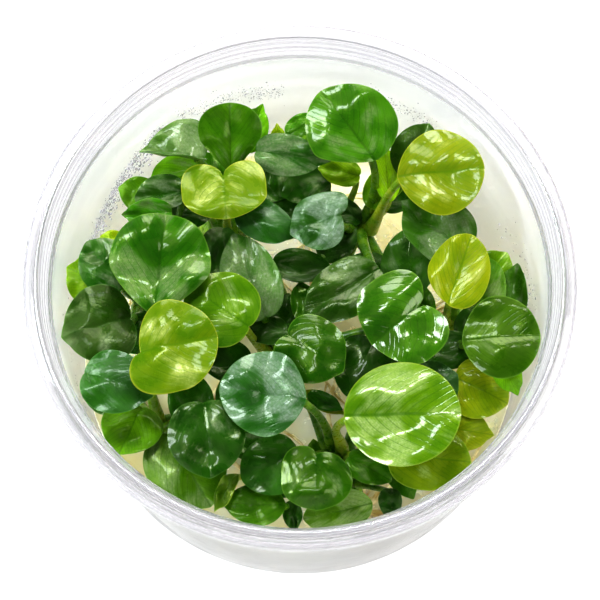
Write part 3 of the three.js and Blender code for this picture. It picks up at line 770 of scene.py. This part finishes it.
# One row for each leaf: number, finish, middle of the midrib (x, y, z),
# (heading from joint to tip, pitch with the tip up, roll with the right side down) in degrees,
# (length, width, how far the lobes reach back past the joint, length of the pointed tip, how much
# further back the right lobe reaches than the left, how much wider the blade is at its joint),
# (fold along the midrib, further bend out to the edge, droop from joint to tip) in degrees,
# (stem, how far up it, side of it as a bearing, how far the petiole leans back from the blade).
# A short size ends as usualOutline does, and a lean that is left out is 0.
usualOutline = (0.3, 0.5, 0, 0.12)
leafRows = [
    ("01", "green", (9.6, 34.4, 50.5), (128, 8, 0), (17.4, 18.4, -0.8, 0.3, 1.3), (8, -8, 16),
     ("a", 0.92, 60, 2)),
    ("02", "gold", (27.4, 24.4, 51), (5, 4, 0), (17, 18, -0.8, 0.2, 0, 0.02), (4, -10, 10), ("a", 1, 0, 2)),
    ("03", "dark", (23.2, 31.8, 43), (66, 15, 0), (12, 10, -0.4, 0.5), (8, -10, 20), ("a", 0.7, 30)),
    ("04", "dark", (26.6, 15, 44.5), (140, 6, 6), (14.5, 14, 1, 1.5), (14, 4, 10), ("e", 1, 120)),
    ("05", "dark", (21.8, 9, 40.5), (89, 20, -30), (14, 12, -0.8, 0.5), (10, 5, 15), ("a", 0.8, 320)),
    ("06", "gold", (30.8, 4.2, 51), (71, 5, 0), (14.5, 12, 0, 0.3, 0.8), (6, -16, 14), ("e", 1, 200)),
    ("07", "green", (38.4, -9.2, 50), (2, 4, 0), (14.8, 16.6, -0.3, 0.2, 0, 0), (8, -16, 14), ("e", 1, 290)),
    ("08", "dark", (41.4, 1.7, 42), (80, 25, -15), (11.5, 7.4, 0.3, 0.9), (12, 0, 0), ("e", 0.55, 20)),
    ("09", "lime", (37.6, 7.5, 39), (50, 10, 0), (10, 9.4, 0.5, 0.5), (6, -8, 10), ("e", 0.4, 60)),
    ("10", "green", (36, 3, 45.5), (88, 10, 20), (11, 9, 0.5, 0.5), (6, -6, 10), ("e", 1, 60)),
    ("11", "green", (18.2, -6.9, 50.5), (219, -2, 0), (11.5, 19, 4.2, 0.2, 0.6, 0.05), (10, -16, 4),
     ("h", 0.9, 10)),
    ("12", "lime", (19.2, -24.9, 51.5), (0, 4, 0), (22, 20.6, -0.2, 0.2, 0, 0), (6, -12, 12),
     ("b", 1, 40, 4)),
    ("13", "teal", (25.5, -17.6, 45), (26, 6, 0), (10, 11, 1, 0.4), (6, -12, 14), ("f", 1, 60)),
    ("14", "gold", (35.2, -16.6, 39.5), (332, 0, 0), (11, 12.4, 1, 0.4), (6, -12, 14), ("f", 0.8, 20)),
    ("15", "gold", (31.3, -24.2, 37.7), (351, 0, 0), (11, 9, 0.5, 1), (10, -10, 10), ("f", 0.95, 300)),
    ("16", "green", (40, -15.2, 46), (293, -16, 25), (7.5, 6, 0.3, 1), (8, 0, 10), ("e", 0.9, 340, 3)),
    ("17", "lime", (25, -30.6, 41.5), (352, 0, 0), (15, 13.4, 1, 0.4), (6, -10, 12), ("b", 0.9, 350)),
    ("18", "green", (3.1, -37.1, 48), (271, -4, 0), (10.6, 13.6, 1.9, 0.2, -1.1, 0), (4, -26, 22),
     ("b", 1, 280)),
    ("19", "dark", (-5.6, -32.7, 43), (206, -4, 0), (12, 12, 0.4, 0.2), (6, -20, 22), ("b", 1, 170)),
    ("20", "dark", (-17.6, -29.4, 49.5), (276, -6, 0), (13.8, 14.8, 1, 0.5), (18, -34, 18), ("c", 1, 330, 3)),
    ("21", "green", (-21.6, -32, 38), (301, 0, 0), (16.5, 15.5, 1, 0.5), (5, -12, 12), ("c", 1, 240)),
    ("22", "green", (-32.7, -24.6, 40), (248, 15, 0), (11, 12, 0.4, 0.3), (8, -10, 14), ("c", 0.7, 225)),
    ("23", "teal", (-35, -18.2, 49.5), (341, -2, 0), (13, 12.3, 0.4, 1), (5, -10, 14), ("c", 0.5, 215)),
    ("24", "gold", (-23.1, -11.4, 52.6), (12, 2, 0), (14.9, 18.2, 1.9, 0.2, 2), (6, -16, 12), ("c", 1, 90)),
    ("25", "green", (-27.1, 5.3, 50.6), (84, 5, 0), (20.6, 20, -2.2, 0.1, 0, -0.06), (16, -36, 10),
     ("g", 1, 280, 3)),
    ("26", "dark", (-39, -6.2, 47), (197, 2, 0), (13, 16, 1, 0.8), (12, -12, 10), ("g", 1, 200)),
    ("27", "lime", (-41.6, 5.4, 43), (152, 6, 0), (8, 10.4, 0.5, 0.8), (8, -10, 10), ("g", 0.7, 200)),
    ("28", "dark", (-38, 7, 46), (130, 6, 0), (11, 11, 1, 0.4), (8, -14, 14), ("g", 0.9, 150)),
    ("29", "lime", (-15.7, -2.2, 47.5), (147, 2, 0), (14, 15, 1, 0.2), (6, -14, 14), ("h", 1, 180)),
    ("30", "dark", (-9.9, 5.4, 43.5), (111, 6, -10), (17, 11.5, 1, 1), (8, -16, 14), ("h", 0.9, 110)),
    ("31", "dark", (8.5, 1.2, 47), (215, 0, 0), (17, 11.6, 0, 1.6), (14, -24, 14), ("a", 1, 240)),
    ("32", "green", (2.9, -12.1, 49.5), (326, -2, 0), (12, 13.4, 1.9, 0.6), (5, -14, 16), ("h", 1, 250)),
    ("33", "teal", (-6.9, -20.8, 51.5), (172, 2, 0), (16.4, 16.9, -0.7, 0.3), (8, -14, 12), ("b", 1, 110, 4)),
    ("34", "dark", (11.7, -12.8, 42), (244, 4, 0), (12, 11, 1, 0.4), (6, -12, 12), ("b", 0.8, 60)),
    ("35", "gold", (-14.7, 19.5, 50), (275, 4, 0), (9.2, 16.6, 4.3, 0), (5, -12, 14), ("d", 1, 250)),
    ("36", "green", (-13.9, 34, 44.8), (91, 34, 0), (14.4, 12.2, -1.4, 0, 0, -0.36), (14, -6, 8),
     ("d", 1, 100)),
    ("37", "dark", (-25.1, 31, 43.8), (175, 4, 34), (11.5, 15, 1.3, 1.2, 0, 0.4), (34, 0, 10),
     ("d", 0.65, 125, 3)),
    ("38", "green", (-9.8, 38, 40), (63, 20, 20), (9, 7, 0.5, 1.2), (12, 0, 10), ("d", 0.6, 33)),
    ("39", "dark", (-2.2, 29.4, 47.2), (353, -4, 22), (13, 8.4, 0.6, 2), (10, -16, 14), ("d", 0.8, 33, -3)),
    ("40", "teal", (-6.8, 15.9, 46), (332, -4, 0), (11.5, 8.6, 0.6, 0.8), (6, -14, 14), ("d", 1, 10)),
    ("41", "teal", (3.2, 14.9, 48), (200, -4, 0), (9.8, 11.6, 1.9, 0.8, -1.5), (6, -20, 16),
     ("a", 0.9, 200)),
    ("42", "green", (-32.2, 23.3, 42), (164, 10, 0), (7.5, 7.3, 0.5, 0.4), (8, -10, 10), ("g", 0.6, 110)),
    ("43", "dark", (-27.6, 22.1, 44.6), (188, 0, 0), (9.5, 8, 0.5, 0.5), (24, 0, 10), ("g", 0.7, 40)),
    ("44", "green", (-24.5, 29.6, 38), (200, 4, 0), (11, 8, 0.5, 0.5), (10, -8, 10), ("d", 0.6, 213)),
    ("45", "green", (-29.7, 17.1, 47.5), (184, 0, -30), (9, 6, 0.3, 0.8), (10, 0, 10), ("g", 0.9, 60)),
    ("46", "green", (-8.4, -39.6, 40), (179, 2, 0), (11.5, 8.3, -0.4, 0.6), (8, -8, 10), ("b", 0.8, 215)),
    ("47", "lime", (-14, -37.1, 41), (242, 0, 40), (8, 5, 0, 0.8), (10, 0, 10), ("b", 0.95, 215)),
    ("48", "green", (7.4, -40.4, 38), (192, -4, -25), (13.4, 8.5, -0.4, 0.3), (10, -10, 12), ("b", 0.55, 250)),
]

# Small leaves deep in the clump, in the same form without the bend: nearly all bend alike.
lowBend = (8, -8, 10)
ownLowBends = {"low_02": (14, -8, 10), "low_15": (14, 0, 10), "low_16": (10, -8, 10)}
lowLeafRows = [
    ("low_01", "gold", (-36.8, 13.5, 40), (150, 6, 0), (6, 5.5, 0.4, 0.3), ("g", 0.45, 190)),
    ("low_02", "lime", (17.4, 28, 40), (96, 20, 0), (11, 5.4, -0.4, 0.6), ("a", 0.8, 20)),
    ("low_03", "lime", (8, 29.6, 38), (170, 4, 0), (8, 6, 0.5, 0.5), ("a", 0.6, 150)),
    ("low_04", "dark", (1.2, 27, 36.5), (200, 0, 0), (9.5, 8, 0.5, 0.6), ("a", 0.45, 200)),
    ("low_05", "dark", (-16.3, 11.8, 39), (260, 0, 0), (11, 7.5, 0.5, 0.8), ("d", 0.9, 250)),
    ("low_06", "dark", (0.4, 9.6, 37.5), (350, 0, 0), (12, 7, 0, 0.8), ("h", 0.5, 40)),
    ("low_07", "green", (0.8, 2.7, 36), (100, 0, 0), (8, 5.5, 0.4, 0.6), ("h", 0.7, 30)),
    ("low_08", "dark", (-6.6, -4, 38), (180, 0, 0), (8, 6, 0.4, 0.6), ("h", 0.95, 200)),
    ("low_09", "dark", (4.7, -17.6, 35), (335, 0, 0), (7, 3.8, 0, 0.6), ("b", 0.9, 160)),
    ("low_10", "dark", (-21.4, -17.6, 37), (100, 0, 0), (11, 9, 0.5, 0.6), ("c", 0.9, 20)),
    ("low_11", "dark", (-11.7, -15, 36), (60, 0, 0), (11, 8, 0.5, 0.6), ("c", 0.95, 40)),
    ("low_12", "dark", (29.8, -8, 38), (10, 0, 0), (10, 8, 0.5, 0.6), ("f", 0.95, 80)),
    ("low_13", "dark", (17.4, -38.2, 36), (275, 0, 0), (6, 4.6, 0, 0.6), ("b", 0.5, 330)),
    ("low_14", "green", (13.4, -31.5, 36.5), (330, 0, 0), (9, 6.5, 0.5, 0.6), ("b", 0.75, 20)),
    ("low_15", "dark", (-1.3, -41, 37), (275, 0, 15), (5.5, 4, 0.3, 0.6), ("b", 0.6, 200)),
    ("low_16", "gold", (-4.3, 35.5, 38.5), (95, 12, 0), (7, 4, 0, 0.9), ("a", 0.3, 160)),
    ("low_17", "lime", (0.6, 34.6, 38), (60, 6, 0), (7, 5), ("a", 0.35, 140)),
    ("low_18", "dark", (-3, 21.5, 34), (300, 0, 0), (10, 8), ("d", 0.8, 330)),
    ("low_19", "dark", (13, 10.6, 33), (20, 0, 0), (10, 7), ("a", 0.85, 270)),
    ("low_20", "green", (24, 1.6, 35), (80, 0, 0), (9, 6), ("e", 0.9, 180)),
    ("low_21", "dark", (-24, 12, 34), (70, 0, 0), (11, 9), ("g", 0.8, 20)),
    ("low_22", "dark", (-31, -4, 36), (200, 0, 0), (11, 9), ("g", 0.85, 240)),
    ("low_23", "dark", (-17, -24.5, 34), (200, 0, 0), (10, 9), ("c", 0.85, 340)),
    ("low_24", "dark", (-8, 9, 33), (10, 0, 0), (9, 8), ("h", 0.75, 120)),
    ("low_25", "dark", (20, 26, 34), (20, 0, 0), (9, 7), ("a", 0.75, 60)),
    ("low_26", "green", (0.5, 39.2, 38.5), (30, 6, 0), (7, 5.5), ("a", 0.4, 120)),
    ("low_27", "dark", (-15, -8.5, 34), (150, 0, 0), (11, 9), ("h", 0.9, 210)),
    ("low_28", "dark", (7.6, 16.5, 32), (40, 0, 0), (9, 7), ("a", 0.7, 240)),
    ("low_29", "dark", (-5.6, 29, 35), (110, 0, 0), (9, 7), ("d", 0.7, 40)),
    ("low_30", "green", (-18.4, 30.6, 37), (120, 0, 0), (8, 6), ("d", 0.75, 100)),
    ("low_31", "dark", (-3.4, -33.6, 35), (200, 0, 0), (9, 7), ("b", 0.7, 190)),
    ("low_32", "green", (19.6, -32.6, 34), (300, 0, 0), (9, 5.5), ("b", 0.7, 330)),
    ("low_33", "dark", (34, -2, 37), (60, 0, 0), (8, 6.5), ("e", 0.85, 260)),
    ("low_34", "dark", (-3, 1.5, 32), (80, 0, 0), (8, 6.5), ("h", 0.6, 60)),
    ("low_35", "dark", (21.6, -22.4, 34), (30, 0, 0), (10, 8), ("f", 0.85, 180)),
    ("low_36", "dark", (20.4, -7.6, 34), (190, 0, 0), (10, 8), ("f", 0.9, 120)),
    ("low_37", "dark", (-22.4, 21.4, 36), (200, 0, 0), (9, 7), ("d", 0.85, 230)),
    ("low_38", "dark", (-36.6, -17.6, 36), (190, 0, 0), (9, 7), ("c", 0.6, 190)),
    ("low_39", "dark", (-9.8, -26, 34), (330, 0, 0), (9, 7), ("c", 0.9, 350)),
    ("low_40", "green", (14.4, -26, 33), (60, 0, 0), (8, 5), ("b", 0.85, 60)),
    ("low_41", "lime", (16, 27, 36), (70, 10, 0), (9, 6), ("a", 0.7, 80)),
    ("low_42", "dark", (8.8, 23.6, 31), (150, 0, 0), (8, 5.6), ("a", 0.55, 200)),
    ("low_43", "gold", (4.4, -15.4, 27), (330, 6, 0), (9, 3.6, 0, 0.8), ("b", 0.8, 130)),
    ("low_44", "lime", (3.4, -27.4, 27), (100, 0, 0), (8, 5), ("b", 0.7, 150)),
]

# A leaf's own hue (0.5 is its finish's, less is yellower), lightness (1 is its finish's; partly the leaf's own
# tone and partly painted light that makes up for the shade it gets among the others), how much of it the pale
# patches of painted sheen cover, how strongly it shines, and how much stronger its bulges are than the
# others'.
# What is left out is taken from usualLook.
usualLook = (0.5, 1, 0.2, 0.2, 1)
leafLooks = {
    "01": (0.5, 1.02, 0.5, 0.6, 1.3), "02": (0.495, 0.62, 0.3, 0.4), "03": (0.48, 1),
    "04": (0.48, 2.5, 1.4, 0.3, 1.6), "05": (0.49, 1.6, 0.4, 0.3), "06": (0.485, 0.82, 0.5, 0.3),
    "07": (0.485, 0.6, 0.1, 0.3), "08": (0.48, 2.1, 1, 0.25), "09": (0.49, 0.82, 1.1, 0.25),
    "10": (0.485, 1.2, 1.1, 0.25), "11": (0.5, 0.85, 0, 1, 1.4), "12": (0.495, 0.9, 1.2, 0.8, 1.2),
    "13": (0.48, 0.98, 1, 0.3), "14": (0.485, 0.95, 0.2, 0.25), "15": (0.485, 0.76), "16": (0.47, 2.6),
    "17": (0.465, 0.7), "18": (0.5, 0.52, 0.3, 0.35, 1.3), "19": (0.5, 1.9, 0, 0.5),
    "20": (0.5, 0.9, 0, 0.45, 1.5), "21": (0.48, 0.78, 0.9, 0.25), "22": (0.475, 1.35),
    "23": (0.485, 1, 0.4, 0.3), "24": (0.525, 0.6, 0.6, 0.3), "25": (0.505, 0.9, 1.1, 0.5, 2),
    "26": (0.48, 0.62, 0, 0.1, 1.4), "27": (0.48, 0.9), "28": (0.5, 1.6, 1.2, 0.3),
    "29": (0.51, 0.68, 0.3, 0.4), "30": (0.485, 2.9, 1.8, 0.3, 1.4), "31": (0.48, 1.1, 0.8, 0.3, 1.5),
    "32": (0.51, 0.46, 0, 0.4), "33": (0.49, 1.35, 1.5, 0.5, 1.5), "34": (0.5, 1, 0.1, 0.3),
    "35": (0.52, 0.6, 0.8, 0.3), "36": (0.49, 1.08, 0.2, 0.15), "37": (0.475, 1.75, 1.5, 0.5),
    "38": (0.48, 2.4), "39": (0.5, 2.1, 1.6, 0.3), "40": (0.49, 0.95, 0.3, 0.2),
    "41": (0.48, 1.1, 1.4, 0.3), "42": (0.48, 1.12), "43": (0.49, 1.5, 1.3, 0.3), "44": (0.48, 1.5),
    "45": (0.5, 1.7, 1.3, 0.3), "46": (0.49, 0.88, 0.3, 0.2), "47": (0.495, 0.32, 0.2, 0.15),
    "48": (0.47, 1, 1.6, 0.15), "low_02": (0.48, 2), "low_03": (0.48, 1.2), "low_09": (0.5, 2.4),
    "low_10": (0.5, 2.1), "low_11": (0.5, 2.2), "low_43": (0.48, 0.6),
}


# How far an evenly bending line goes along and up.
def arcPoint(distance, start, turn):
    if abs(turn) < 1e-4:
        return distance * math.cos(start), distance * math.sin(start)
    radius = distance / turn
    return (radius * (math.sin(start + turn) - math.sin(start)),
            radius * (math.cos(start) - math.cos(start + turn)))


# The leaf's own axes: across to the right, along the midrib, and up from its face.
def leafAxes(turn):
    heading, pitch, roll = (math.radians(angle) for angle in turn)
    level = math.cos(pitch)
    along = Vector((math.cos(heading) * level, math.sin(heading) * level, math.sin(pitch)))
    flatRight = Vector((math.sin(heading), -math.cos(heading), 0))
    flatUp = flatRight.cross(along)
    right = flatRight * math.cos(roll) - flatUp * math.sin(roll)
    return right, along, right.cross(along)


# How far the real skin stands off the smooth blade, in millimetres: waves of the rim, bulges, pleats,
# the hollow of the midrib, and swellings between the side veins.
def skinHeight(a, b, x, seed, bulge):
    side = abs(a)
    reach = math.hypot(a, b)
    around = math.atan2(a, -b)
    number = (b - side * (veinShape["lean"] + veinShape["curl"] * side)) / (1 + veinShape["fan"] * side)
    wave = math.sin(3 * around + seed) + 0.6 * math.sin(5 * around + 2.3 * seed)
    lump = noise.noise(Vector((a * blade["lumpCount"], b * blade["lumpCount"], seed * 3.1)))
    half = 3 if a > 0 else 0
    pleat = noise.noise(Vector((number * blade["pleatCount"], side * 0.8 + half, seed * 1.7)))
    swelling = math.cos(math.tau * number * veinShape["perHalf"])
    rise = blade["ripple"] * wave * reach ** 4
    rise += bulge * blade["lumps"] * lump * (1 - 0.5 * reach ** 4)
    rise += bulge * blade["pleats"] * pleat * min(1, 3 * side) * (1 - reach ** 6)
    rise -= blade["midribDepth"] * math.exp(-((x / blade["midribWidth"]) ** 2)) * (1 - 0.5 * max(b, 0))
    return rise + blade["veinDepth"] * swelling * min(1, 4 * side) * (1 - reach ** 4)


# What every point of one leaf shares.
def leafForm(middle, turn, size, bend, bulge):
    length, width, lobe, tip, skew, belly = size + usualOutline[len(size) - 2:]
    fold, cupping, droop = (math.radians(angle) for angle in bend)
    right, along, up = leafAxes(turn)
    return {"middle": Vector(middle), "right": right, "along": along, "up": up, "length": length,
            "width": width, "lobe": lobe, "tip": tip, "skew": skew, "belly": belly,
            "fold": fold, "cupping": cupping, "droop": droop, "bulge": bulge}


# A point of the blade: a runs across, b from the joint at -1 to the tip at 1, and lift is off the mid
# face. Without a seed the blade is smooth.
def bladePoint(a, b, lift, form, seed=None):
    reach = math.hypot(a, b)
    fromJoint = math.atan2(abs(a), -b)
    sideLobe = form["lobe"] + math.copysign(form["skew"], a)
    swing = max(0, math.sin(min(2 * fromJoint, math.pi)))
    lobed = sideLobe * (swing ** 0.5 if sideLobe > 0 else swing) * reach ** 2
    pointed = form["tip"] * max(0, 1 - (math.pi - fromJoint) / 0.35) * reach ** 4
    x = a * form["width"] * (1 - form["belly"] * b) / 2
    y = b * form["length"] / 2 - lobed + pointed
    if seed is not None:
        lift += skinHeight(a, b, x, seed, form["bulge"])
    bending = form["cupping"] * abs(x) / (form["width"] / 2)
    out, rise = arcPoint(abs(x), form["fold"], bending)
    roundOver = -form["droop"] * y / form["length"]
    ahead, drop = arcPoint(y, 0, roundOver)
    slope = 0 if a == 0 else form["fold"] + bending
    across = math.copysign(out - lift * math.sin(slope), a)
    height = rise + lift * math.cos(slope)
    place = (form["middle"] + form["right"] * across + form["along"] * (ahead - height * math.sin(roundOver))
             + form["up"] * (drop + height * math.cos(roundOver)))
    return place * mm


# Each corner carries its spot on the blade and the leaf's own values.
def writeMaps(bm, face, spotOf, own):
    layers = bm.loops.layers.uv
    for loop in face.loops:
        a, b = spotOf(loop.vert)
        loop[layers["leafMap"]].uv = ((a + 1) / 2, (b + 1) / 2)
        for mapName, values in own.items():
            loop[layers[mapName]].uv = values


# One face of the blade: a square grid pressed into a disc, then bent into the leaf.
def addBladeFace(bm, form, count, side, seed, own, materialIndex):
    verts = bmesh.ops.create_grid(bm, x_segments=count, y_segments=count, size=1)["verts"]
    spots = {}
    for vert in verts:
        s, t = vert.co.x, vert.co.y
        spots[vert] = (s * math.sqrt(1 - t * t / 2), t * math.sqrt(1 - s * s / 2))
    faces = set(face for vert in verts for face in vert.link_faces)
    for face in faces:
        face.material_index = materialIndex
        writeMaps(bm, face, spots.get, own)
    for vert, (a, b) in spots.items():
        thin = 1 - (1 - blade["edge"]) * min(1, math.hypot(a, b)) ** 6
        vert.co = bladePoint(a, b, side * blade["thickness"] / 2 * thin, form, seed)
    return [edge for edge in bm.edges if edge.is_boundary and edge.verts[0] in spots]


stemSteps = 60
stemPaths = {key: routeOf(key, stemSteps + 1) for key in rhizomeRoutes}


# Where a petiole stands on its stem, and the direction out from the stem there.
def footOn(key, share, bearing):
    path = stemPaths[key]
    spot = round(share * stemSteps)
    tangent = (path[min(spot + 1, stemSteps)] - path[max(spot - 1, 0)]).normalized()
    out = Vector((math.cos(math.radians(bearing)), math.sin(math.radians(bearing)), 0))
    out = (out - tangent * out.dot(tangent)).normalized()
    return path[spot] + out * rhizome["radius"] * petiole["footReach"] * mm, out


def cubicCurve(a, b, c, d, count):
    path = []
    for step in range(count):
        t = step / (count - 1)
        path.append(a * (1 - t) ** 3 + b * 3 * t * (1 - t) ** 2 + c * 3 * t * t * (1 - t) + d * t ** 3)
    return path


# The petiole bends from under the blade down to the stem and ends inside it.
def addPetiole(bm, stem, form, materialIndex):
    joint = bladePoint(0, -1, 0, form)
    start = bladePoint(0, -0.8, -blade["thickness"] * 0.9, form)
    foot, out = footOn(*stem[:3])
    lean = stem[3] if len(stem) > 3 else 0
    rise = Vector((0, 0, joint.z - foot.z))
    neck = joint - form["along"] * (lean + petiole["lean"]) * mm - rise * petiole["neck"]
    ankle = foot + out * petiole["footOut"] * mm + (joint - foot) * petiole["ankle"]
    path = cubicCurve(start, neck, ankle, foot, petiole["steps"])
    slim = min(1, 0.55 + form["length"] / 30)
    top, base = petiole["topRadius"] * slim * mm, petiole["footRadius"] * slim * mm
    radii = [top + (base - top) * (k / (len(path) - 1)) ** 3 for k in range(len(path))]
    growTube(bm, path, radii, petiole["sides"], materialIndex)


def makeLeaf(number, finish, middle, turn, size, bend, stem, replaced):
    name = "leaf_" + number
    look = leafLooks.get(number, ())
    hue, lightnessWithPaintedLight, paintedSheen, shine, bulge = look + usualLook[len(look):]
    form = leafForm(middle, turn, size, bend, bulge)
    seed = sum(ord(letter) for letter in name) * 0.37 + middle[0]
    count = blade["smallCells"] if form["length"] < blade["smallLength"] else blade["cells"]
    # toneMap carries the hue and the lightness with its painted light, skinMap the share of painted sheen and
    # the gloss
    own = {"toneMap": (hue, lightnessWithPaintedLight), "skinMap": (paintedSheen, shine)}
    bm = bmesh.new()
    for mapName in ("leafMap", "toneMap", "skinMap"):
        bm.loops.layers.uv.new(mapName)
    rims = addBladeFace(bm, form, count, 1, seed, own, 0)
    rims += addBladeFace(bm, form, count, -1, seed, own, 1)
    for face in bmesh.ops.bridge_loops(bm, edges=rims)["faces"]:
        face.material_index = 0
        writeMaps(bm, face, lambda vert: (1, 0), own)
    addPetiole(bm, stem, form, 2)
    stalk = petioleMaterials["pale" if finish in ("gold", "lime") else "green"]
    materials = [bladeMaterials[finish], undersideMaterial, stalk]
    return finishPiece(bm, name, materials, replaced)


for row in leafRows:
    makeLeaf(*row, ["leaf_" + row[0]])
for *start, stem in lowLeafRows:
    makeLeaf(*start, ownLowBends.get(start[0], lowBend), stem, [])
